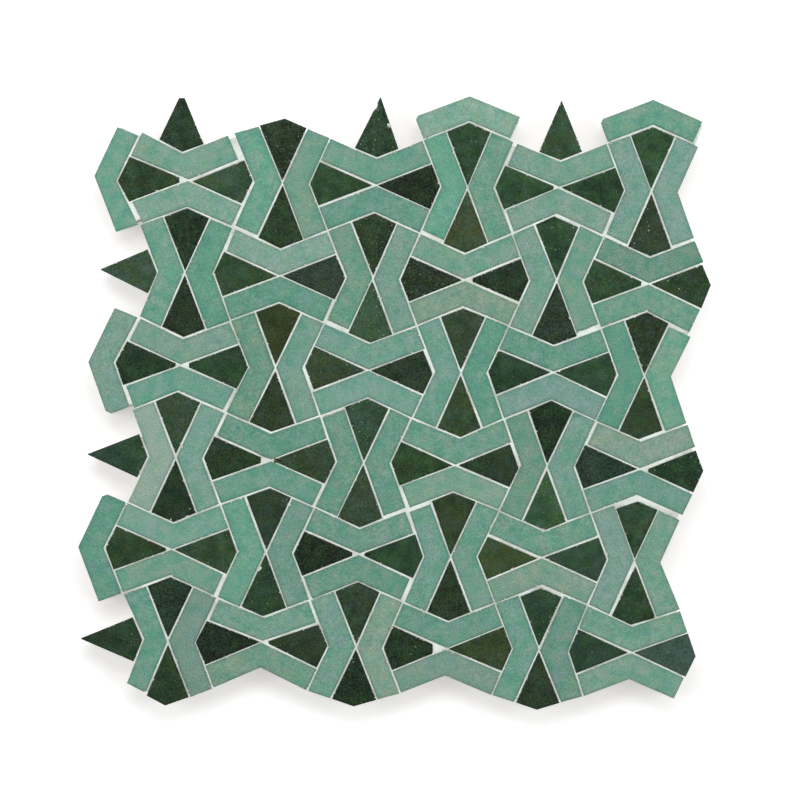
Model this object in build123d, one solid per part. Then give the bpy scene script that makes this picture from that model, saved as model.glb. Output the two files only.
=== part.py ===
"""Hand-laid mosaic sheet of chiselled, glazed tiles: dark green kites and sea-green chevrons in grout.

The pattern is a chessboard of two kinds of cell. A lying cell has two kites side by side, tip to tip,
with a chevron above and a chevron below. An upright cell is the same, turned by a quarter. Each side
of a cell is bent at its middle, outwards beyond a kite and inwards beyond a chevron, so that
neighbours lock together, and so does the toothed edge of the next sheet.

A cell is named by its column and row, counted from 0 at the top left. A tile of a cell is named by
the way it lies from the cell's centre, and a chevron's arm by the way it points.
"""
from build123d import *
import os
from math import cos, floor, hypot, radians, sin, tan
from random import Random

# Pattern, in millimetres and degrees
module = 50.8                # one cell of the pattern, six to the foot
columns = 6
rows = 6
bend = 22.5                  # how far each half of a cell's side leans
joint = 0.9                  # usual grout line between two glazed faces
joint_spread = 0.6           # share by which a grout line runs wider or narrower

# Tiles
tile_thickness = 10.5
undercut = 8.0               # lean of the chiselled flanks, which makes the back smaller than the face
glaze_edge = 0.3             # glaze rounded off along the edge of a face
tip_nip = 0.6                # what the hammer takes off every sharp tip
face_lift = 0.3              # most that one tile stands above another
face_tilt = 0.3              # most that a glazed face leans

# Grout
bed_thickness = 4.5          # behind the tiles
grout_recess = 0.3           # grout surface below the middle of the thinnest tile's face
edge_clearance = 0.4         # the bed stops this far inside the backs of the outer tiles

right, down, left, up = (1, 0), (0, 1), (-1, 0), (0, -1)

# Hand work: how far each column and row was laid from the even grid, step by step
column_extra = (1.0, 0.5, -0.6, -0.3, -0.3)       # added to the module from one column to the next
row_extra = (0.1, -0.2, 0.0, -0.2, -0.3)          # added to the module from one row to the next
row_shift = (0.3, -0.3, -1.4, -0.8, -0.1)         # each row against the row above, to the right
column_rise = (0.1, 0.5, 0.5, 1.5, -0.1)          # each column against the one before, upwards
point_wander = 0.3                                # most that a meeting point of tiles lies off its place

# Meeting points that lie well off their place, to the right and upwards: a cell's centre, the middle
# of one of its sides, or a corner by its two sides
off_place = {
    ((0, 0), up): (-3.5, 0.0),
    ((0, 0), left): (-2.0, -1.5),
    ((0, 0), (right, up)): (-1.5, 1.5),
    ((0, -1), None): (-4.8, -1.0),
    ((2, -1), None): (1.2, -0.4),
    ((4, 0), down): (-1.5, 0.5),
    ((-1, 1), None): (3.4, 0.1),
    ((0, 1), (left, down)): (1.5, 0.5),
    ((5, 1), (right, down)): (0.0, -1.5),
    ((0, 2), down): (-1.5, 0.5),
    ((3, 2), down): (2.0, 0.0),
    ((-1, 3), None): (1.2, 0.1),
    ((5, 4), (right, down)): (1.5, -1.0),
    ((-1, 5), None): (2.2, 0.0),
    ((0, 5), left): (2.0, 1.0),
    ((0, 5), (left, down)): (3.4, 0.4),
    ((1, 5), None): (-0.5, 1.5),
    ((1, 5), down): (-0.6, 1.4),
    ((2, 5), down): (0.3, 2.2),
    ((4, 5), right): (1.5, -0.5),
    ((4, 5), down): (0.9, 2.4),
}

# Kites with more knocked off the tip than usual
blunt_tips = {
    ((0, 0), left): 3.2, ((0, -1), down): 3.0, ((0, 2), left): 1.8, ((0, 2), right): 2.6,
    ((1, 3), left): 3.6, ((1, 3), right): 1.2, ((2, 4), left): 2.0, ((2, 4), right): 1.4,
    ((3, 1), right): 2.0, ((4, 0), left): 1.8, ((5, 1), left): 2.4, ((5, 3), right): 1.6,
    ((0, 4), left): 1.4, ((1, 5), right): 1.6, ((3, 5), left): 5.6,
}

# Kites cut smaller than their place, by side: the first long side from the tip, the two short sides
# that meet at the blunt point, and the last long side back to the tip
trimmed_kites = {
    ((0, 0), right): (0, 1, 0, 1), ((4, -1), down): (0.3, 0, 0, 0.3), ((3, 1), right): (0.4, 0, 0, 0.4),
    ((4, 1), up): (0, 1, 0, 0), ((5, 1), right): (0, 0.9, 0.9, 0), ((2, 2), left): (0, 0, 1, 0),
    ((2, 2), right): (0, 0, 1, 0), ((5, 2), down): (0, 0, 1, 0), ((3, 3), right): (0, 0, 1, 0),
    ((4, 3), down): (0.4, 0, 0, 0.4), ((5, 3), right): (0, 0, 0, 1), ((4, 4), left): (1, 0, 0, 0),
    ((5, 4), up): (0, 2.2, 2.2, 0), ((5, 4), down): (1, 0, 0, 0), ((4, 5), up): (0.5, 1.2, 1.2, 0),
}

# A kite that slid along the tile below it
slid_kites = {((0, -1), down): 2.2}

# Chevron arms that end short, which leaves a wide grout line
short_arms = {
    ((-1, 0), right, up): 2.4, ((-1, 2), right, down): 1.4, ((3, -1), down, right): 2.4,
    ((5, -1), down, right): 3.4, ((0, 0), up, right): 3.2, ((0, 0), down, left): 2.0,
    ((0, 0), down, right): 1.0, ((1, 0), left, down): 1.0, ((3, 0), left, down): 1.6,
    ((4, 0), up, left): 1.5, ((4, 0), down, left): 1.0, ((4, 0), down, right): 1.3,
    ((5, 0), left, down): 1.0, ((5, 0), right, down): 1.0, ((1, 1), up, left): 1.2,
    ((1, 1), down, right): 1.0, ((2, 1), left, down): 1.8, ((4, 1), right, down): 1.8,
    ((5, 1), down, right): 1.4, ((0, 2), up, left): 1.0, ((0, 2), down, left): 1.3,
    ((0, 2), down, right): 1.4, ((5, 2), right, up): 1.5, ((1, 3), up, left): 1.0,
    ((1, 3), down, right): 1.0, ((2, 3), left, up): 1.0, ((2, 3), right, down): 1.0,
    ((3, 3), down, left): 1.0, ((5, 3), up, left): 1.2, ((0, 4), down, right): 1.9,
    ((2, 4), up, right): 1.0, ((2, 4), down, left): 1.0, ((2, 4), down, right): 1.4,
    ((3, 4), left, up): 1.0, ((5, 4), right, up): 2.0, ((0, 5), left, down): 1.2,
    ((1, 5), up, left): 1.3, ((1, 5), up, right): 1.0, ((5, 5), down, right): 0.8,
}

# Chevron arms with a corner knocked off at the end, on the side of the cell's centre
nipped_arms = {
    ((-1, 2), right, down): 1.8, ((-1, 4), right, up): 1.6, ((3, -1), down, left): 1.3,
    ((5, -1), down, left): 1.4, ((0, 5), left, down): 1.0,
}

# Shape of a cell, as shares of the module
bow = tan(radians(bend)) / 2
bulge = 0.5 + bow            # from a cell's centre to a side bent outwards
dent = 0.5 - bow             # from a cell's centre to a side bent inwards
square_cut = cos(radians(bend)) * (cos(radians(bend)) - sin(radians(bend)))


def lying(cell):
    return (cell[0] + cell[1]) % 2 == 0


def points_to(cell, way):
    """Whether a cell has a kite on that side, and not a chevron."""
    return lying(cell) == (way in (left, right))


def place(cell, way):
    """Grid place of a cell's centre, of the middle of one of its sides, or of a corner by two sides."""
    if way is None:
        return cell
    if way in (right, down, left, up):
        reach = bulge if points_to(cell, way) else dent
        return cell[0] + reach * way[0], cell[1] + reach * way[1]
    return cell[0] + (way[0][0] + way[1][0]) / 2, cell[1] + (way[0][1] + way[1][1]) / 2


def place_name(across, along):
    return f"{across:.3f} {along:.3f}"


moves = {place_name(*place(*spot)): move for spot, move in off_place.items()}


def carried(steps, place):
    """Sum of the steps up to a place on the grid, with the end steps carried on past the ends."""
    whole = max(0, min(floor(place), len(steps) - 1))
    return sum(steps[:whole]) + steps[whole] * (place - whole)


def laid(across, along):
    """Where the hand put a meeting point of the pattern, counted in columns and rows down."""
    name = place_name(across, along)
    hand = Random(name)
    move = moves.get(name, (0, 0))
    x = module * across + carried(column_extra, across) + carried(row_shift, along)
    y = -module * along - carried(row_extra, along) + carried(column_rise, across)
    return x + move[0] + point_wander * hand.uniform(-1, 1), y + move[1] + point_wander * hand.uniform(-1, 1)


def cell_point(cell, way, ahead, aside):
    """Meeting point of a cell, given ahead of its centre and to the side of one of its four ways."""
    across = cell[0] + ahead * way[0] - aside * way[1]
    along = cell[1] + ahead * way[1] + aside * way[0]
    return laid(across, along)


def between(start, end, share):
    return tuple(a + share * (b - a) for a, b in zip(start, end))


def towards(start, end, distance):
    return between(start, end, distance / hypot(end[0] - start[0], end[1] - start[1]))


def kite_places(cell, way):
    """Kite with its sharp tip at the cell's centre, its blunt point on the side bent outwards."""
    tip = cell_point(cell, way, 0, 0)
    point = cell_point(cell, way, bulge, 0)
    wings = [between(cell_point(cell, way, 0.5, side), point, square_cut) for side in (0.5, -0.5)]
    return [tip, wings[0], point, wings[1]]


def chevron_places(cell, way):
    """Two square-ended arms along a side bent inwards, with their inner elbow at the cell's centre."""
    elbow = cell_point(cell, way, dent, 0)
    inner = cell_point(cell, way, 0, 0)
    corners = [cell_point(cell, way, 0.5, side) for side in (0.5, -0.5)]
    beside = [cell_point(cell, way, 0, side) for side in (bulge, -bulge)]
    ends = [between(corner, far, square_cut) for corner, far in zip(corners, beside)]
    return [corners[0], elbow, corners[1], ends[1], inner, ends[0]]


def cut_kite(corners, cell, way):
    """The kite as it was cut: its corners, how far each side stands back, and what is knocked off."""
    tip, first_wing, point, last_wing = corners
    slid = slid_kites.get((cell, way), 0)
    outline = [tip, towards(first_wing, point, -slid), point, towards(last_wing, point, slid)]
    trimmed = trimmed_kites.get((cell, way), (0, 0, 0, 0))
    return outline, trimmed, {0: tip_nip + blunt_tips.get((cell, way), 0)}


def cut_chevron(corners, cell, way):
    """The chevron as it was cut: its corners, how far each side stands back, and what is knocked off."""
    first, elbow, last, last_end, inner, first_end = corners
    first_arm, last_arm = (-way[1], way[0]), (way[1], -way[0])
    short = [short_arms.get((cell, way, arm), 0) for arm in (first_arm, last_arm)]
    outline = [
        towards(first, elbow, short[0]),
        elbow,
        towards(last, elbow, short[1]),
        towards(last_end, inner, short[1]),
        inner,
        towards(first_end, inner, short[0]),
    ]
    nips = {5: nipped_arms.get((cell, way, first_arm)), 3: nipped_arms.get((cell, way, last_arm))}
    return outline, [0] * len(outline), {corner: nip for corner, nip in nips.items() if nip}


def set_back(outline, starts, ends):
    """Outline with each side moved inwards, by one amount at its start and another at its end."""
    count = len(outline)
    lines = []
    for k in range(count):
        (x0, y0), (x1, y1) = outline[k], outline[(k + 1) % count]
        length = hypot(x1 - x0, y1 - y0)
        inward = ((y0 - y1) / length, (x1 - x0) / length)
        a = (x0 + inward[0] * starts[k], y0 + inward[1] * starts[k])
        b = (x1 + inward[0] * ends[k], y1 + inward[1] * ends[k])
        lines.append((a, (b[0] - a[0], b[1] - a[1])))
    corners = []
    for k in range(count):
        (ax, ay), (adx, ady) = lines[k - 1]
        (bx, by), (bdx, bdy) = lines[k]
        share = ((bx - ax) * bdy - (by - ay) * bdx) / (adx * bdy - ady * bdx)
        corners.append((ax + share * adx, ay + share * ady))
    return corners


def even_set_back(outline, distance):
    return set_back(outline, [distance] * len(outline), [distance] * len(outline))


def block(rings):
    """Solid through rings of as many corners each, from the lowest to the highest, with flat sides."""
    count = len(rings[0])
    faces = [Face(Wire.make_polygon(rings[0])), Face(Wire.make_polygon(rings[-1]))]
    for lower, upper in zip(rings, rings[1:]):
        for k in range(count):
            after = (k + 1) % count
            faces.append(Face(Wire.make_polygon([lower[k], lower[after], upper[after], upper[k]])))
    return Solid(Shell(faces))


def knocked_off(solid, outline, corner, depth):
    """The solid with one corner of its outline broken off, square to the corner's bisector."""
    at = outline[corner]
    before = towards(at, outline[corner - 1], 1)
    after = towards(at, outline[(corner + 1) % len(outline)], 1)
    inner = towards(at, between(before, after, 0.5), depth)
    break_plane = Plane(origin=(*inner, 0), z_dir=(at[0] - inner[0], at[1] - inner[1], 0))
    return solid.split(break_plane, keep=Keep.BOTTOM)


def tile(outline, stands_back, nips, name):
    """One chiselled tile on the bed: its flanks lean in to a smaller back, its face a little askew."""
    hand = Random(name)
    half = joint / 2
    starts = [half * (1 + joint_spread * hand.uniform(-1, 1)) + extra for extra in stands_back]
    ends = [half * (1 + joint_spread * hand.uniform(-1, 1)) + extra for extra in stands_back]
    shoulder = set_back(outline, starts, ends)
    flank = tile_thickness - glaze_edge
    back = even_set_back(shoulder, flank * tan(radians(undercut)))
    middle = tuple(sum(corner[axis] for corner in back) / len(back) for axis in (0, 1))
    lift = face_lift * hand.random()
    slope = [tan(radians(face_tilt)) * hand.uniform(-1, 1) for _ in range(2)]

    def thickness(x, y):
        return tile_thickness + lift + slope[0] * (x - middle[0]) + slope[1] * (y - middle[1])

    # The askew face cuts the flanks, so each corner of the shoulder slides along its edge of the flanks
    for k, ((x, y), (sx, sy)) in enumerate(zip(back, shoulder)):
        share = (thickness(x, y) - glaze_edge) / (flank - slope[0] * (sx - x) - slope[1] * (sy - y))
        shoulder[k] = between((x, y), (sx, sy), share)
    face = even_set_back(shoulder, glaze_edge)
    back_ring = [Vector(x, y, bed_thickness) for x, y in back]
    shoulder_ring = [Vector(x, y, bed_thickness + thickness(x, y) - glaze_edge) for x, y in shoulder]
    face_ring = [Vector(x, y, bed_thickness + thickness(x, y)) for x, y in face]
    solid = block([back_ring, shoulder_ring, face_ring])
    for corner, depth in nips.items():
        solid = knocked_off(solid, shoulder, corner, depth)
    return solid


def pattern():
    """Every tile of the sheet, as its node, its cell and its way."""
    found = []
    for row in range(rows):
        for column in range(columns):
            cell = (column, row)
            stance = "lying" if lying(cell) else "upright"
            for way in (right, down, left, up):
                kind = "kites" if points_to(cell, way) else "chevrons"
                found.append((f"row_{row + 1}_{stance}_{kind}", cell, way))

    # The top and left edges carry one tile more beyond most cells: the near tile of the cell outside
    bare = (1, -1)
    for column in range(columns):
        cell = (column, -1)
        kind = "kites" if points_to(cell, down) else "chevrons"
        if cell != bare:
            found.append((f"top_edge_{kind}", cell, down))
    for row in range(rows):
        cell = (-1, row)
        kind = "kites" if points_to(cell, right) else "chevrons"
        found.append((f"left_edge_{kind}", cell, right))
    return found


def sides(outline):
    return zip(outline, outline[1:] + outline[:1])


def off_line(point, start, end):
    """Distance of a point from the line through two others."""
    across = (end[0] - start[0]) * (point[1] - start[1]) - (end[1] - start[1]) * (point[0] - start[0])
    return abs(across) / hypot(end[0] - start[0], end[1] - start[1])


def stops_on(corners, start, end):
    """The corners of other tiles that lie on a side, in order from its start."""
    def along(point):
        return (point[0] - start[0]) * (end[0] - start[0]) + (point[1] - start[1]) * (end[1] - start[1])

    inside = [p for p in corners if along(start) < along(p) < along(end) and off_line(p, start, end) < 0.01]
    return sorted(inside, key=along)


def sheet_outline(places):
    """Toothed edge of the whole sheet: the tile sides that no other tile shares, end to end."""
    rounded = [[(round(x, 3), round(y, 3)) for x, y in outline] for outline in places]
    corners = {corner for outline in rounded for corner in outline}
    loose = set()
    for outline in rounded:
        for start, end in sides(outline):
            stops = [start, *stops_on(corners, start, end), end]
            for a, b in zip(stops, stops[1:]):
                if (b, a) in loose:
                    loose.remove((b, a))
                else:
                    loose.add((a, b))
    onward = dict(loose)
    edge = [min(onward)]
    while onward[edge[-1]] != edge[0]:
        edge.append(onward[edge[-1]])
    count = len(edge)
    return [edge[k] for k in range(count) if off_line(edge[k], edge[k - 1], edge[(k + 1) % count]) > 0.05]


def grout_bed(places, tiles):
    """One cast piece: the bed behind the tiles and the grout between their flanks."""
    inside = joint / 2 + tile_thickness * tan(radians(undercut)) + edge_clearance
    edge = even_set_back(sheet_outline(places), inside)
    height = bed_thickness + tile_thickness - grout_recess
    return extrude(make_face(Polyline(*edge, close=True)), amount=height) - tiles


places = []
nodes = {}
for node, cell, way in pattern():
    if points_to(cell, way):
        corners = kite_places(cell, way)
        cut = cut_kite(corners, cell, way)
    else:
        corners = chevron_places(cell, way)
        cut = cut_chevron(corners, cell, way)
    places.append(corners)
    nodes.setdefault(node, []).append(tile(*cut, f"{cell} {way}"))
tiles = [solid for group in nodes.values() for solid in group]
nodes["grout_bed"] = [grout_bed(places, tiles)]

# The origin lies under the middle of the sheet
box = Compound(tiles).bounding_box()
to_middle = Pos(-box.center().X, -box.center().Y, 0)

os.makedirs("parts", exist_ok=True)
for node, group in nodes.items():
    export_step(Compound([to_middle * solid for solid in group]), f"parts/{node}.step")
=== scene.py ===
# %% [markdown]
# # A hand-laid sheet of glazed mosaic tiles
# Every tile of this sheet was chiselled by hand from a glazed square, laid face up and grouted. The CAD
# model has the real cuts, so this scene keeps each outline and adds what a cutter's hammer, a kiln and a
# wiped grout line leave: soft glaze edges, small chips, a wavy face, clouded glaze and pinholes.

# %% The frame
import bmesh
import bpy
import numpy as np
from math import radians
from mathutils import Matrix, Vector, noise
from random import Random


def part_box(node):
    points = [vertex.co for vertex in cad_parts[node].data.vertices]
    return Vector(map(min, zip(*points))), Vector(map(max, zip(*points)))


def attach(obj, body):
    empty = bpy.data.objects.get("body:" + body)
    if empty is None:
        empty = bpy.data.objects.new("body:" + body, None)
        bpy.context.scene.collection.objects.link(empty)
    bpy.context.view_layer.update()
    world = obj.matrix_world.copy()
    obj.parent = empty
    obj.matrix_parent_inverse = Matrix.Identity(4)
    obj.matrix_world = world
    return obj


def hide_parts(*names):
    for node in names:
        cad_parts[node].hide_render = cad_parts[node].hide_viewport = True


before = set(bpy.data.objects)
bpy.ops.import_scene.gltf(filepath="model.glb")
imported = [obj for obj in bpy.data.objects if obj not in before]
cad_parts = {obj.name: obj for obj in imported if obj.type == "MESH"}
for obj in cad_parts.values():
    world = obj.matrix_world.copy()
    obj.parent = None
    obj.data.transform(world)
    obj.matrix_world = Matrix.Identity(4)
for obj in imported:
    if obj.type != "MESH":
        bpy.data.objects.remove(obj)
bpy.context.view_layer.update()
MM = 0.001


# %% [markdown]
# ## The tiles
# A cut tile could be drawn again as an outline and thickened, but its real outline is already in the CAD
# mesh. So each tile is copied from there, and only its surface is worked: the copy is first cleaned to
# flat faces, which bevels and insets need.

# %% One tile of a node
SAME_POINT = 0.001 * MM       # points nearer than this are one


def merged_copy(node):
    """A bmesh of the node with its loose triangles joined. The node's own mesh stays as it is."""
    bm = bmesh.new()
    bm.from_mesh(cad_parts[node].data)
    bmesh.ops.remove_doubles(bm, verts=bm.verts, dist=SAME_POINT)
    return bm


def separate_tiles(bm):
    """The vertices of each tile of a node, in the order they were laid."""
    waiting = dict.fromkeys(bm.verts)
    groups = []
    while waiting:
        group = [next(iter(waiting))]
        del waiting[group[0]]
        for vert in group:
            for edge in vert.link_edges:
                other = edge.other_vert(vert)
                if other in waiting:
                    del waiting[other]
                    group.append(other)
        groups.append(group)
    return groups


def lone_tile(bm, verts):
    """A copy of one tile in a bmesh of its own, cleaned to flat faces."""
    bm.verts.index_update()
    own = {vert.index for vert in verts}
    tile = bm.copy()
    bmesh.ops.delete(tile, geom=[vert for vert in tile.verts if vert.index not in own], context="VERTS")
    bmesh.ops.dissolve_limit(tile, angle_limit=radians(0.1), verts=tile.verts, edges=tile.edges)
    return tile


# %% [markdown]
# The glaze ends in a soft edge, because the chisel crushes it a little and wiping rubs it round. A Bevel
# modifier would do that, but its new points couldn't be marked on the way. So a bevel is cut along every
# edge but those of the hidden back, and two insets lay rings along the rim, which the glaze needs.

# %% Soft edges and a marked rim
EDGE_SOFTNESS = 0.12 * MM
BACK = 1 * MM                                       # edges that lie within this of the back stay sharp
RIM_STEPS = ((0.5 * MM, 0.6), (1.0 * MM, 0.0))      # how far in, and how much of the rim is left there


def soften_edges(tile):
    low = min(vert.co.z for vert in tile.verts)
    edges = [edge for edge in tile.edges if max(vert.co.z for vert in edge.verts) > low + BACK]
    bmesh.ops.bevel(tile, geom=edges, offset=EDGE_SOFTNESS, offset_type="OFFSET", affect="EDGES",
                    segments=2, profile=0.5, material=-1, clamp_overlap=True)


def mark_rim(tile):
    """Rim is 1 at the edge of the face and 0 inside it. Gives the face's middle and its normal."""
    rim = tile.verts.layers.float.new("rim")
    tile.normal_update()
    face = max(tile.faces, key=lambda face: face.calc_area() * face.normal.z)
    middle, outward = face.calc_center_median(), face.normal.copy()
    for vert in tile.verts:
        vert[rim] = 1
    for step, left in RIM_STEPS:
        bmesh.ops.inset_region(tile, faces=[face], thickness=step, use_even_offset=True, use_boundary=True)
        for vert in face.verts:
            vert[rim] = left
    return middle, outward


# %% [markdown]
# A flat face has no points that could rise and fall. Subdividing it would make long thin faces at the
# tips, so planes cut the whole tile every 1.7 mm instead, and they keep the rings. The tile was cut after
# it was fired, so its flanks are bare clay from just below the face: the glaze stops between the first
# two of the level cuts.

# %% A divided tile
FACE_STEP = 1.7 * MM
LEAST_STRIP = 0.2 * MM                              # no cut is nearer to the tile's far side
FLANK_CUTS = (0.5, 1.0, 2.2, 3.8, 5.5, 8.0)         # millimetres below the highest point
GLAZE_DEPTH = 0.45 * MM


def divide(tile):
    """Cuts the tile by upright planes both ways, and its flanks by a few level ones."""
    corners = np.array([vert.co for vert in tile.verts])
    low, high = corners.min(0), corners.max(0)
    cuts = [(axis, at) for axis in (0, 1)
            for at in np.arange(low[axis] + FACE_STEP / 2, high[axis] - LEAST_STRIP, FACE_STEP)]
    cuts += [(2, high[2] - depth * MM) for depth in FLANK_CUTS]
    for axis, at in cuts:
        place, normal = Vector(), Vector()
        place[axis], normal[axis] = at, 1
        geom = [*tile.verts, *tile.edges, *tile.faces]
        bmesh.ops.bisect_plane(tile, geom=geom, dist=SAME_POINT, plane_co=place, plane_no=normal)


def mark_glaze(tile, middle, outward):
    """Glaze is 1 on the face and 0 down the flanks."""
    glaze = tile.verts.layers.float.new("glaze")
    for vert in tile.verts:
        below = -(vert.co - middle).dot(outward)
        vert[glaze] = min(1, max(0, 2 - below / GLAZE_DEPTH))


# %% [markdown]
# A hammer leaves the flanks rough, and the fired face is never quite flat. A Displace modifier could
# roughen everything alike, but the two need noises of their own: waves about 14 mm long on the face, and
# a finer roughness on the flanks. Points only move inwards and down, so a worked tile stays inside the
# one that was cut.

# %% Worked surface
FACE_WAVE = 0.07 * MM
RIM_DROP = 0.04 * MM
FLANK_ROUGHNESS = 0.25 * MM


def rise(place, length, seed):
    """Smooth noise from -1 to 1, whose hills are about that long, in metres."""
    return noise.noise(place / length + Vector((seed * 7.3, seed * 3.1, seed * 5.7)))


def work_surface(tile, seed):
    rim = tile.verts.layers.float["rim"]
    glaze = tile.verts.layers.float["glaze"]
    low = min(vert.co.z for vert in tile.verts)
    tile.normal_update()
    for vert in tile.verts:
        place = vert.co.copy()
        outward = Vector((vert.normal.x, vert.normal.y, 0))
        if vert[glaze] > 0:
            wave = 0.8 * rise(place, 14 * MM, seed) + 0.2 * rise(place, 4 * MM, seed)
            vert.co.z += FACE_WAVE * (wave - 1) - RIM_DROP * vert[rim] ** 2
        elif place.z > low + 0.1 * MM:
            rough = 0.6 * rise(place, 3 * MM, seed) + 0.4 * rise(place, 1.1 * MM, seed)
            vert.co += outward * FLANK_ROUGHNESS * (rough - 1) / 2


# %% [markdown]
# Where the hammer slipped, a flake of glaze came off the rim. Cutting each one out with a boolean would
# leave crumbs of faces, and a chip is only a shallow hollow. So the points near it sink and draw back a
# little, and an attribute says how far the glaze is gone.

# %% Chips
# Place on the sheet, how far the chip reaches and how far it bites into the outline, in millimetres
CHIPS = (
    (-16.8, 162.2, 2.2, 1.5), (-8.9, 152.2, 1.3, 0.3), (83.4, -67.6, 1.3, 0.4), (-97.9, -85.2, 1.3, 0.4),
    (-121.0, -68.2, 1.2, 0.3), (-110.5, -62.5, 1.1, 0.2), (-71.0, -93.5, 1.3, 0.4),
    (-101.5, -88.5, 1.0, 0.2),
)
CHIP_DEPTH = 0.3 * MM


def chip(tile):
    chipped = tile.verts.layers.float.new("chipped")
    high = max(vert.co.z for vert in tile.verts)
    middle = sum((vert.co for vert in tile.verts), Vector()) / len(tile.verts)
    for x, y, reach, bite in CHIPS:
        at = Vector((x * MM, y * MM, high))
        for vert in tile.verts:
            near = 1 - (vert.co - at).length / (reach * MM)
            if near > 0:
                vert[chipped] = max(vert[chipped], near)
                vert.co += (middle - vert.co).normalized() * bite * MM * near
                vert.co.z -= CHIP_DEPTH * near


# %% [markdown]
# Glaze never fires to one even colour, so every tile has its own tone. A material for each tile would
# take 155 of them, so the tones are attributes of the mesh instead, which one material reads. Seeded
# chance gives most tiles theirs, spread as far as the sheet shows, and those that stand out get theirs
# from a list.

# %% Tones that stand out
# A tile's light runs from dark to pale, its warmth from blue-green to olive or sage, its grey from clear
# to misty, and its pinholes from none to many. Each row gives the tile's middle, in millimetres.
DARK_STAND_OUTS = (
    ((157, -133), dict(light=1.0, warmth=0.0, grey=2.2, pinholes=0.05)),
    ((-148, -136), dict(light=-0.3, warmth=-0.1)), ((-15, 45), dict(light=1.3, warmth=0.1, pinholes=0.6)),
    ((-66, 39), dict(light=-0.3, warmth=1.4)), ((36, 40), dict(light=0.2, warmth=0.9)),
    ((-67, -6), dict(light=-0.5, warmth=0.9)), ((-17, -56), dict(light=0.4, warmth=0.6)),
    ((35, -5), dict(light=0.7, warmth=0.7)), ((-37, 17), dict(light=0.4, warmth=0.8, pinholes=0.3)),
    ((7, 17), dict(light=-0.9, warmth=0.4)), ((59, 69), dict(light=-1.0, warmth=0.0, pinholes=0.3)),
    ((-91, -135), dict(light=-1.4, warmth=-0.3)), ((-40, -85), dict(light=-1.4, warmth=-0.2)),
    ((-120, -113), dict(light=-1.0, warmth=-0.4)), ((36, 141), dict(light=0.2, warmth=-0.6)),
    ((84, -112), dict(light=0.2, warmth=-0.6)), ((-14, 147), dict(light=-0.3, pinholes=0.9)),
    ((-15, 92), dict(light=-0.5, pinholes=0.8)), ((158, 70), dict(light=-0.2, warmth=-0.2, pinholes=0.9)),
    ((114, 70), dict(light=0.6, warmth=-0.2, pinholes=0.35)), ((137, 96), dict(light=-0.4, pinholes=0.8)),
    ((-142, -84), dict(light=0.4, warmth=0.1, pinholes=0.1)), ((-95, -85), dict(light=0.9, warmth=0.1)),
    ((-97, 16), dict(light=0.1, warmth=-0.3)),
)
SEA_STAND_OUTS = (
    ((-132, -34), dict(light=2.2, warmth=2.0, grey=0.8)), ((136, -19), dict(light=0.2, warmth=1.8)),
    ((84, -96), dict(light=0.5, warmth=1.2)), ((34, -46), dict(light=1.3, warmth=0.8)),
    ((86, 107), dict(light=0.1, warmth=0.8)), ((-155, 13), dict(light=-0.1, warmth=0.7, grey=0.6)),
    ((-65, 80), dict(light=1.1, warmth=0.7, grey=0.7)), ((-120, -72), dict(light=1.6, warmth=-0.2, grey=0.5)),
    ((-66, 54), dict(light=-0.8, warmth=-1.0)), ((86, 32), dict(light=-0.8, warmth=-1.0)),
    ((-15, 106), dict(light=-0.9, warmth=-0.9)), ((-27, 68), dict(light=-0.7, warmth=0.2, grey=-0.8)),
    ((-120, -99), dict(light=0.8, warmth=0.5)), ((118, -83), dict(light=0.3, warmth=0.5, grey=1.0)),
    ((132, 157), dict(light=0.1, warmth=-0.1, grey=-0.5)),
    ((122, 121), dict(light=-0.1, warmth=-0.2, grey=0.8)),
    ((150, 122), dict(light=0.1, warmth=-0.2, grey=1.0)), ((136, 55), dict(light=0.0, warmth=0.2, grey=-0.5)),
    ((102, 70), dict(light=0.1, warmth=0.4, grey=-0.5)),
)

# %% The tones of any tile
TONE_SPREADS = {"light": 0.75, "warmth": 0.6, "grey": 0.4, "pinholes": 0.16}
TONES = (*TONE_SPREADS, "cut")            # cut says which piece of the glaze's pattern the tile shows
TILE_REACH = 5 * MM                       # a row above is meant for the tile whose middle is this near


def tones_of(middle, seed):
    """The tones of the tile with its middle there."""
    chance = Random(seed)
    tones = {tone: chance.gauss(0, spread) for tone, spread in TONE_SPREADS.items()}
    tones["pinholes"] = max(0, tones["pinholes"])
    tones["cut"] = chance.random()
    for (x, y), by_hand in (*DARK_STAND_OUTS, *SEA_STAND_OUTS):
        if (Vector((x * MM, y * MM)) - middle.xy).length < TILE_REACH:
            tones.update(by_hand)
    return tones


print("tiles with tones by hand", len(DARK_STAND_OUTS) + len(SEA_STAND_OUTS))

# %% [markdown]
# All tiles of a node go back into one mesh, which stands for the node. Its object stays at the origin,
# as the node's own does, so that a pattern on object coordinates stays in place.

# %% Every node of tiles
def piece_from(bm, name, node):
    """A piece that stands for a node, with smooth shading."""
    mesh = bpy.data.meshes.new(name)
    bm.to_mesh(mesh)
    bm.free()
    mesh.shade_smooth()
    piece = bpy.data.objects.new(name, mesh)
    bpy.context.scene.collection.objects.link(piece)
    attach(piece, "root")
    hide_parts(node)
    return piece


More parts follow.
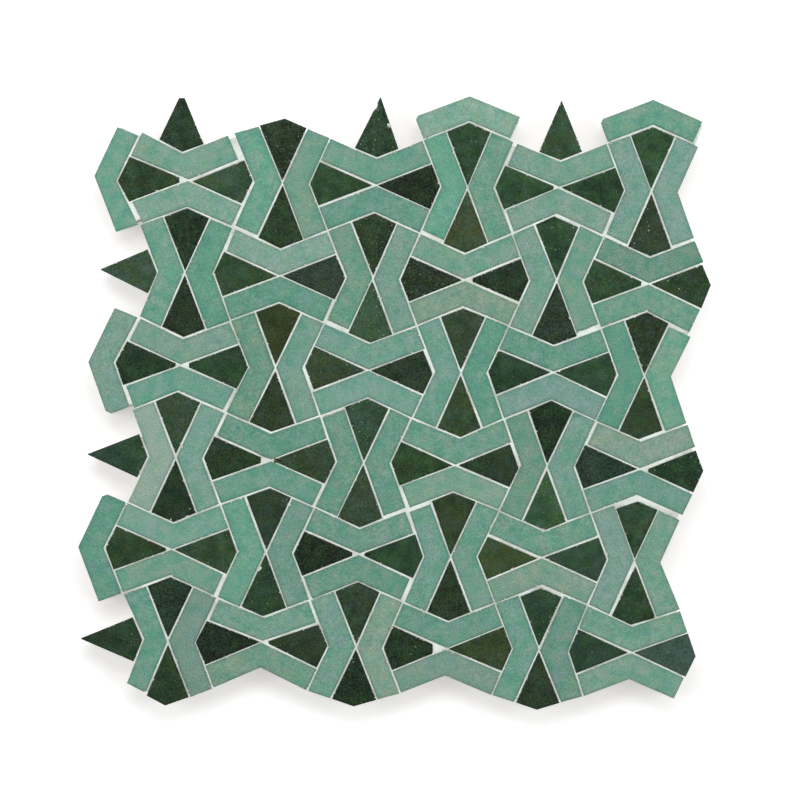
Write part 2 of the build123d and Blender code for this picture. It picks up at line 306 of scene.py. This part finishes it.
def worked_tiles(node):
    source = merged_copy(node)
    together = bmesh.new()
    tones = {tone: [] for tone in TONES}
    for count, verts in enumerate(separate_tiles(source)):
        seed = sum(node.encode()) + 31 * count
        tile = lone_tile(source, verts)
        soften_edges(tile)
        middle, outward = mark_rim(tile)
        divide(tile)
        mark_glaze(tile, middle, outward)
        work_surface(tile, seed % 97)
        chip(tile)
        for tone, value in tones_of(middle, seed).items():
            tones[tone] += [value] * len(tile.verts)
        alone = bpy.data.meshes.new("one tile")
        tile.to_mesh(alone)
        tile.free()
        together.from_mesh(alone)
        bpy.data.meshes.remove(alone)
    source.free()
    piece = piece_from(together, f"glazed_{node}", node)
    for tone, values in tones.items():
        piece.data.attributes.new(tone, "FLOAT", "POINT").data.foreach_set("value", values)
    return piece


tile_pieces = []
for node in sorted(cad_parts):
    if node != "grout_bed":
        tile_pieces.append(worked_tiles(node))
faces = sum(len(piece.data.polygons) for piece in tile_pieces)
print("tile pieces", len(tile_pieces), "faces", faces)

# %% [markdown]
# ## The grout
# Grout was pressed into the joints and wiped off, which leaves it a little below the glaze, dragged here
# and there. The lines are cut across every 2 mm, so that they can rise and fall, and so is the bed's
# outer wall. What the tiles hide stays as it is, because cuts there would only add faces.

# %% The grout lines
GROUT_STEP = 2 * MM
GROUT_ENDS = (1.1 * MM, 0.5 * MM)         # no cut is nearer to the ends of the casting
GROUT_WAVE = 0.1 * MM
LEVEL, UPRIGHT = 0.9, 0.01                # a normal points up by more than this, or by less on the wall


def open_to_view(bm, top):
    """The wiped lines and the bed's outer wall."""
    return [face for face in bm.faces
            if face.normal.z > LEVEL and face.calc_center_median().z > top - 1 * MM
            or abs(face.normal.z) < UPRIGHT]


def worked_grout(node):
    bm = merged_copy(node)
    bm.normal_update()
    top = max(vert.co.z for vert in bm.verts)
    geom = list({part for face in open_to_view(bm, top) for part in [face, *face.edges, *face.verts]})
    low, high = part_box(node)
    for axis in (0, 1, 2):
        for at in np.arange(low[axis] + GROUT_ENDS[0], high[axis] - GROUT_ENDS[1], GROUT_STEP):
            place, normal = Vector(), Vector()
            place[axis], normal[axis] = at, 1
            geom = bmesh.ops.bisect_plane(bm, geom=geom, dist=SAME_POINT, plane_co=place,
                                          plane_no=normal)["geom"]
    bm.normal_update()
    for vert in bm.verts:
        wave = 0.6 * rise(vert.co, 9 * MM, 3) + 0.4 * rise(vert.co, 2.5 * MM, 3)
        if vert.co.z > top - 0.01 * MM:
            vert.co.z += GROUT_WAVE * wave
        elif all(abs(face.normal.z) < UPRIGHT for face in vert.link_faces):
            vert.co -= vert.normal * GROUT_WAVE * 2 * (1 + wave)
    return piece_from(bm, "cast_grout", node)


grout_piece = worked_grout("grout_bed")
print("grout faces", len(grout_piece.data.polygons))

# %% [markdown]
# ## The glazes and the clay
# Both glazes are lead glass over pale clay, coloured by copper and iron. A flat green would look like
# plastic, because the eye reads fired glaze by its clouds and specks. So each glaze is mixed from a few
# greens by noises in real sizes, and every tile reads the noises at another place.

# %% Colours and nodes
def linear(code):
    """An sRGB hex colour, such as 2f4a30, as the linear colour that a node takes."""
    parts = [int(code[k:k + 2], 16) / 255 for k in (0, 2, 4)]
    return (*(p / 12.92 if p <= 0.04045 else ((p + 0.055) / 1.055) ** 2.4 for p in parts), 1)


def add(tree, kind, settings={}, links={}):
    """Adds a node. A setting is one of its properties or, by name or number, one of its inputs."""
    node = tree.nodes.new(kind)
    for key, value in settings.items():
        if isinstance(key, str) and hasattr(node, key):
            setattr(node, key, value)
    for key, value in settings.items():
        if not (isinstance(key, str) and hasattr(node, key)):
            node.inputs[key].default_value = value
    for key, source in links.items():
        tree.links.new(source, node.inputs[key])
    return node


def per_mm(length):
    """The scale that gives a noise or a cell pattern features of about that many millimetres."""
    return 1 / (length * MM)


def new_material(name):
    material = bpy.data.materials.new(name)
    material.use_nodes = True
    material.node_tree.nodes.clear()
    return material, material.node_tree


# %% [markdown]
# Gas bubbles burst in the melting glaze and leave round pinholes, where pale clay or wiped grout shows.
# A noise would give blots, so a cell pattern is used: it puts one spot in each cell, and the cell's own
# colour, which is chance, says whether the spot is there, how wide it is and how pale.

# %% Pinholes
def pinholes(tree, place, share, apart, low, high):
    """Round spots that many millimetres apart, in that share of their places. Their radius lies between
    low and high times that distance. Gives how deep a point lies in one, and how pale it is there."""
    cells = add(tree, "ShaderNodeTexVoronoi", {"Scale": per_mm(apart)}, {"Vector": place})
    lot = add(tree, "ShaderNodeSeparateColor", {}, {0: cells.outputs["Color"]})
    chosen = add(tree, "ShaderNodeMath", {"operation": "LESS_THAN"}, {0: lot.outputs[0], 1: share})
    width = add(tree, "ShaderNodeMapRange", {3: low, 4: high}, {0: lot.outputs[1]}).outputs[0]
    inside = add(tree, "ShaderNodeMath", {"operation": "DIVIDE"}, {0: cells.outputs["Distance"], 1: width})
    spot = add(tree, "ShaderNodeMapRange", {1: 1.2, 2: 0.7}, {0: inside.outputs[0]}).outputs[0]
    deep = add(tree, "ShaderNodeMath", {"operation": "MULTIPLY"}, {0: chosen.outputs[0], 1: spot}).outputs[0]
    pale = add(tree, "ShaderNodeMath", {"operation": "MULTIPLY"}, {0: deep, 1: lot.outputs[2]}).outputs[0]
    return deep, pale


def glaze_pits(tree, own, share):
    """The pinholes of the glaze, a few wide ones and more fine ones."""
    wide = pinholes(tree, own, share, apart=2.4, low=0.07, high=0.16)
    fine = pinholes(tree, own, share, apart=1.1, low=0.1, high=0.2)
    return [add(tree, "ShaderNodeMath", {"operation": "MAXIMUM"}, {0: one, 1: other}).outputs[0]
            for one, other in zip(wide, fine)]


# %% [markdown]
# Copper gives the glaze its green, and where iron or tin gathers it turns olive or misty grey. One colour
# ramp could hold all that, but then every tile would have the same share of each. So a cloud mixes two
# greens, and a drift adds the warm and the grey one in patches, as far as the tile's own tones push.

# %% The glaze's hue
GREY_SPREAD = 0.3


def glaze_hue(tree, own, tone, cloud, deep, fresh, warm, grey, warm_spread):
    clouded = add(tree, "ShaderNodeMapRange", {1: 0.36, 2: 0.64}, {0: cloud}).outputs[0]
    hue = add(tree, "ShaderNodeMix", {"data_type": "RGBA", 6: linear(deep), 7: linear(fresh)},
              {0: clouded}).outputs[2]
    drift = add(tree, "ShaderNodeTexNoise", {"Scale": per_mm(6.5), "Detail": 3.0, "Distortion": 0.3},
                {"Vector": own}).outputs[1]
    drifts = add(tree, "ShaderNodeSeparateColor", {}, {0: drift}).outputs
    for code, push, spread, source, low, high, most in (
            (warm, tone["warmth"], warm_spread, drifts[0], 0.36, 0.68, 0.48),
            (grey, tone["grey"], GREY_SPREAD, drifts[1], 0.38, 0.70, 0.45)):
        patches = add(tree, "ShaderNodeMapRange", {1: low, 2: high, 3: -0.05, 4: most}, {0: source})
        share = add(tree, "ShaderNodeMath", {"operation": "MULTIPLY_ADD", "use_clamp": True, 1: spread},
                    {0: push, 2: patches.outputs[0]}).outputs[0]
        hue = add(tree, "ShaderNodeMix", {"data_type": "RGBA", 7: linear(code)},
                  {0: share, 6: hue}).outputs[2]
    return hue


# %% [markdown]
# How light a glaze is depends on how thick it lies. The tile's own tone comes first, then the cloud again
# and a fine grain, which is drawn at 0.8 mm because a finer one wouldn't show. Flecks of iron are darker.
# The rim is darkened too, which is painted shade of the joint beside it.

# %% The glaze's light
# How much darker the rim is painted, as painted shade of the joint beside it.
RIM_PAINTED_SHADE = 0.18


def glaze_light(tree, own, tone, cloud, light_spread, grain_spread):
    grain = add(tree, "ShaderNodeTexNoise", {"Scale": per_mm(0.8), "Detail": 2.0}, {"Vector": own}).outputs[0]
    some = add(tree, "ShaderNodeMapRange", {3: 0.1, 4: 0.4}, {0: tone["cut"]}).outputs[0]
    fleck = pinholes(tree, own, some, apart=0.9, low=0.12, high=0.26)[0]
    light = add(tree, "ShaderNodeMath", {"operation": "MULTIPLY_ADD", 1: light_spread, 2: 1.0},
                {0: tone["light"]}).outputs[0]
    for source, reach in ((grain, grain_spread), (cloud, light_spread / 3)):
        part = add(tree, "ShaderNodeMapRange", {1: 0.25, 2: 0.75, 3: -reach, 4: reach},
                   {0: source}).outputs[0]
        light = add(tree, "ShaderNodeMath", {"operation": "ADD"}, {0: light, 1: part}).outputs[0]
    # Iron flecks darken in their own colour; the rim's darkening is painted shade of the joint.
    for source, loss in ((fleck, 0.35 * grain_spread), (tone["rim"], RIM_PAINTED_SHADE)):
        light = add(tree, "ShaderNodeMath", {"operation": "MULTIPLY_ADD", 1: -loss},
                    {0: source, 2: light}).outputs[0]
    return light


# %% [markdown]
# The glaze ends a little raggedly below the rim, and it is nibbled off along it. Chips cut into the mesh
# would have to be finer than its faces. Instead the rim and a fine noise add up, and where they pass a
# limit the glaze is off, while the larger chips that were marked on the mesh count in full.

# %% Where the glaze ends
def glaze_cover(tree, gritty, tone):
    """1 where the glaze covers the clay."""
    ragged = add(tree, "ShaderNodeMapRange", {1: 0.3, 2: 0.7, 3: -0.35, 4: 0.35}, {0: gritty}).outputs[0]
    border = add(tree, "ShaderNodeMath", {"operation": "ADD"}, {0: tone["glaze"], 1: ragged}).outputs[0]
    return add(tree, "ShaderNodeMapRange", {1: 0.35, 2: 0.6}, {0: border}).outputs[0]


def flaked_off(tree, own, tone):
    """1 where a flake came off the rim. Wiped grout has filled it."""
    nibble = add(tree, "ShaderNodeTexNoise", {"Scale": per_mm(1.6), "Detail": 3.0},
                 {"Vector": own}).outputs[0]
    reach = add(tree, "ShaderNodeMath", {"operation": "MULTIPLY_ADD", 1: 0.5}, {0: tone["rim"], 2: nibble})
    reach = add(tree, "ShaderNodeMath", {"operation": "ADD"}, {0: reach.outputs[0], 1: tone["chipped"]})
    return add(tree, "ShaderNodeMapRange", {1: 1.13, 2: 1.19}, {0: reach.outputs[0]}).outputs[0]


# %% [markdown]
# The finished surface puts these together over the clay, which is pale brown and gritty. The gloss does
# as much as the colour: glaze is smooth glass with an index of 1.5 and breaks up a reflection only a
# little, while pits, chips and clay are dull.

# %% Glaze on clay
CLAY_DARK, CLAY_LIGHT, FILLED_CHIP = "a98d72", "d8c6ad", "dcd8cd"
CLAY_ROUGHNESS = 0.9
RELIEF = 0.1 * MM


def glazed_clay(name, deep, fresh, warm, grey, pinhole, light_spread, warm_spread, grain_spread):
    """Glazed clay: the glaze's greens as hex colours, and how far its light and its warmth vary from
    tile to tile, and its light from grain to grain."""
    material, tree = new_material(name)
    place = add(tree, "ShaderNodeTexCoord").outputs["Object"]
    tone = {key: add(tree, "ShaderNodeAttribute", {"attribute_name": key}).outputs["Fac"]
            for key in (*TONES, "rim", "glaze", "chipped")}
    own = add(tree, "ShaderNodeVectorMath", {"operation": "ADD"}, {0: place, 1: tone["cut"]}).outputs[0]
    cloud = add(tree, "ShaderNodeTexNoise", {"Scale": per_mm(7), "Detail": 3.0}, {"Vector": own}).outputs[0]
    gritty = add(tree, "ShaderNodeTexNoise", {"Scale": per_mm(0.9), "Detail": 4.0, "Roughness": 0.7},
                 {"Vector": own}).outputs[0]
    glazed = glaze_cover(tree, gritty, tone)
    flaked = flaked_off(tree, own, tone)
    pit, pale = glaze_pits(tree, own, tone["pinholes"])

    hue = glaze_hue(tree, own, tone, cloud, deep, fresh, warm, grey, warm_spread)
    light = glaze_light(tree, own, tone, cloud, light_spread, grain_spread)
    toned = add(tree, "ShaderNodeHueSaturation", {}, {"Value": light, "Color": hue}).outputs[0]
    glaze = add(tree, "ShaderNodeMix", {"data_type": "RGBA", 7: linear(pinhole)}, {0: pale, 6: toned})
    clay = add(tree, "ShaderNodeMix", {"data_type": "RGBA", 6: linear(CLAY_DARK), 7: linear(CLAY_LIGHT)},
               {0: gritty})
    fired = add(tree, "ShaderNodeMix", {"data_type": "RGBA"},
                {0: glazed, 6: clay.outputs[2], 7: glaze.outputs[2]})
    colour = add(tree, "ShaderNodeMix", {"data_type": "RGBA", 7: linear(FILLED_CHIP)},
                 {0: flaked, 6: fired.outputs[2]}).outputs[2]

    gloss = add(tree, "ShaderNodeMapRange", {1: 0.3, 2: 0.7, 3: 0.17, 4: 0.27}, {0: cloud}).outputs[0]
    broken = add(tree, "ShaderNodeMath", {"operation": "MAXIMUM"}, {0: pit, 1: flaked}).outputs[0]
    dull = add(tree, "ShaderNodeMath", {"operation": "MULTIPLY_ADD", 1: 0.5},
               {0: broken, 2: gloss}).outputs[0]
    roughness = add(tree, "ShaderNodeMix", {2: CLAY_ROUGHNESS}, {0: glazed, 3: dull}).outputs[0]
    hollow = add(tree, "ShaderNodeMath", {"operation": "MULTIPLY_ADD", 1: -2.0},
                 {0: broken, 2: cloud}).outputs[0]
    grit = add(tree, "ShaderNodeMath", {"operation": "MULTIPLY", 1: 3.0}, {0: gritty}).outputs[0]
    height = add(tree, "ShaderNodeMix", {}, {0: glazed, 2: grit, 3: hollow}).outputs[0]
    bump = add(tree, "ShaderNodeBump", {"Strength": 0.35, "Distance": RELIEF}, {"Height": height})
    shader = add(tree, "ShaderNodeBsdfPrincipled", {"IOR": 1.5},
                 {"Base Color": colour, "Roughness": roughness, "Normal": bump.outputs[0]})
    add(tree, "ShaderNodeOutputMaterial", {}, {0: shader.outputs[0]})
    return material


# %% The two glazes
dark_glaze = glazed_clay("dark_green_lead_glaze", deep="1b3621", fresh="254524", warm="373f1c",
                         grey="384b46", pinhole="a3b39a", light_spread=0.34, warm_spread=0.33,
                         grain_spread=0.74)
sea_glaze = glazed_clay("sea_green_lead_glaze", deep="5a9683", fresh="649c82", warm="94a18e",
                        grey="8aa19f", pinhole="b4c2ae", light_spread=0.065, warm_spread=0.22,
                        grain_spread=0.3)
for piece in tile_pieces:
    piece.data.materials.clear()
    piece.data.materials.append(dark_glaze if "kites" in piece.name else sea_glaze)
print("glaze nodes", len(dark_glaze.node_tree.nodes))

# %% [markdown]
# Cement grout dries nearly white, with greyer stains where dirty water stood, and pores of a few tenths of a
# millimetre. The faint green in its base colour is painted light, reflected off the glaze. Stains, sand and
# pores each have a pattern of their real size, because one noise for all would look like smoke. It is matt
# all over.

# %% Cement grout
grout, tree = new_material("pale_cement_grout")
place = add(tree, "ShaderNodeTexCoord").outputs["Object"]
stain = add(tree, "ShaderNodeTexNoise", {"Scale": per_mm(12), "Detail": 4.0}, {"Vector": place}).outputs[0]
stained = add(tree, "ShaderNodeMapRange", {1: 0.4, 2: 0.7}, {0: stain}).outputs[0]
# The pale colour holds a faint green, which is painted reflection of the glaze; the darker one is the stains.
tint = add(tree, "ShaderNodeMix", {"data_type": "RGBA", 6: linear("eaf2eb"), 7: linear("c8cdc3")},
           {0: stained}).outputs[2]
sand = add(tree, "ShaderNodeTexNoise", {"Scale": per_mm(0.6), "Detail": 3.0}, {"Vector": place}).outputs[0]
sanded = add(tree, "ShaderNodeMapRange", {1: 0.3, 2: 0.7, 3: 0.92, 4: 1.03}, {0: sand}).outputs[0]
mixed = add(tree, "ShaderNodeHueSaturation", {}, {"Value": sanded, "Color": tint}).outputs[0]
pores = add(tree, "ShaderNodeTexVoronoi", {"Scale": per_mm(1.4)}, {"Vector": place}).outputs["Distance"]
pore = add(tree, "ShaderNodeMapRange", {1: 0.16, 2: 0.08}, {0: pores}).outputs[0]
pored = add(tree, "ShaderNodeMix", {"data_type": "RGBA", 7: linear("a79c94")}, {0: pore, 6: mixed}).outputs[2]
height = add(tree, "ShaderNodeMath", {"operation": "MULTIPLY_ADD", 1: -1.5}, {0: pore, 2: sand}).outputs[0]
bump = add(tree, "ShaderNodeBump", {"Strength": 0.5, "Distance": 0.2 * MM}, {"Height": height}).outputs[0]
shader = add(tree, "ShaderNodeBsdfPrincipled", {"Roughness": 0.9, "IOR": 1.45},
             {"Base Color": pored, "Normal": bump})
add(tree, "ShaderNodeOutputMaterial", {}, {0: shader.outputs[0]})
grout_piece.data.materials.clear()
grout_piece.data.materials.append(grout)
print("grout nodes", len(tree.nodes))

# %% [markdown]
# ## Floor, light and camera
# The sheet lies on a plain white floor. White paint alone would render pale grey, and stronger lamps
# would bleach the glaze, so the floor glows a little, but only for the camera's own rays, and it keeps
# the sheet's shadow.

# %% Floor
bm = bmesh.new()
bmesh.ops.create_grid(bm, x_segments=1, y_segments=1, size=4)
floor_mesh = bpy.data.meshes.new("floor")
bm.to_mesh(floor_mesh)
bm.free()
floor = bpy.data.objects.new("floor", floor_mesh)
floor.location.z = -0.2 * MM
bpy.context.scene.collection.objects.link(floor)

white, tree = new_material("white_paper_floor")
paper = add(tree, "ShaderNodeBsdfDiffuse", {"Color": (0.8, 0.8, 0.8, 1)}).outputs[0]
path = add(tree, "ShaderNodeLightPath")
seen = add(tree, "ShaderNodeMath", {"operation": "MAXIMUM"},
           {0: path.outputs["Is Camera Ray"], 1: path.outputs["Is Transmission Ray"]}).outputs[0]
glow = add(tree, "ShaderNodeMath", {"operation": "MULTIPLY", 1: 0.4}, {0: seen}).outputs[0]
lift = add(tree, "ShaderNodeEmission", {}, {"Strength": glow}).outputs[0]
both = add(tree, "ShaderNodeAddShader", {}, {0: paper, 1: lift}).outputs[0]
add(tree, "ShaderNodeOutputMaterial", {}, {0: both})
floor.data.materials.append(white)
print("floor at", round(floor.location.z / MM, 1), "mm")

# %% [markdown]
# The light is soft. The lamps stand to the sides, because glaze mirrors whatever is straight above it
# into a camera that looks straight down, and a bright ceiling would lay a veil over the dark green. Only
# the lamp at the top edge reaches that far in, as the sheet is lightest there.

# %% Soft light
world = bpy.data.worlds.new("pale_room")
bpy.context.scene.world = world
world.use_nodes = True
tree = world.node_tree
tree.nodes.clear()
path = add(tree, "ShaderNodeLightPath")
room = add(tree, "ShaderNodeBackground", {"Color": (1, 1, 1, 1), "Strength": 0.22})
backdrop = add(tree, "ShaderNodeBackground", {"Color": (1, 1, 1, 1), "Strength": 1.0})
sky = add(tree, "ShaderNodeMixShader", {}, {0: path.outputs["Is Camera Ray"], 1: room.outputs[0],
                                            2: backdrop.outputs[0]})
add(tree, "ShaderNodeOutputWorld", {}, {0: sky.outputs[0]})


def softbox(name, place, width, height, power):
    """A square lamp that faces the middle of the sheet."""
    lamp = bpy.data.lights.new(name, "AREA")
    lamp.shape = "RECTANGLE"
    lamp.size, lamp.size_y = width, height
    lamp.energy = power
    stand = bpy.data.objects.new(name, lamp)
    stand.location = place
    stand.rotation_euler = (-Vector(place)).to_track_quat("-Z", "Y").to_euler()
    bpy.context.scene.collection.objects.link(stand)


softbox("lamp_left", (-1.6, 0.1, 1.2), 1.2, 1.2, 13)
softbox("lamp_right", (1.6, 0.1, 1.2), 1.2, 1.2, 13)
softbox("lamp_top", (0.0, 0.9, 1.2), 1.6, 0.8, 13)
softbox("lamp_bottom", (0.0, -1.7, 1.1), 1.6, 0.8, 3)
print("lamps", len(bpy.data.lights))

# %% [markdown]
# The sheet is seen from straight above, turned by about two degrees. An orthographic camera would hide
# every flank, but a real one stands somewhere, so this one is far enough away that they barely show.

# %% Camera
FRAME_WIDTH = 438.9 * MM          # what the picture spans at the height of the glazed faces
FACE_HEIGHT = 15 * MM
DISTANCE = 2.5
TURN = radians(1.966)
camera = bpy.data.cameras.new("camera")
camera.sensor_width = 36
camera.lens = camera.sensor_width * DISTANCE / FRAME_WIDTH
stand = bpy.data.objects.new("camera", camera)
stand.location = (2.69 * MM, 1.29 * MM, FACE_HEIGHT + DISTANCE)
stand.rotation_euler = (0, 0, TURN)
bpy.context.scene.collection.objects.link(stand)
bpy.context.scene.camera = stand
bpy.context.scene.view_settings.view_transform = "Standard"
print("lens", round(camera.lens, 1), "mm")
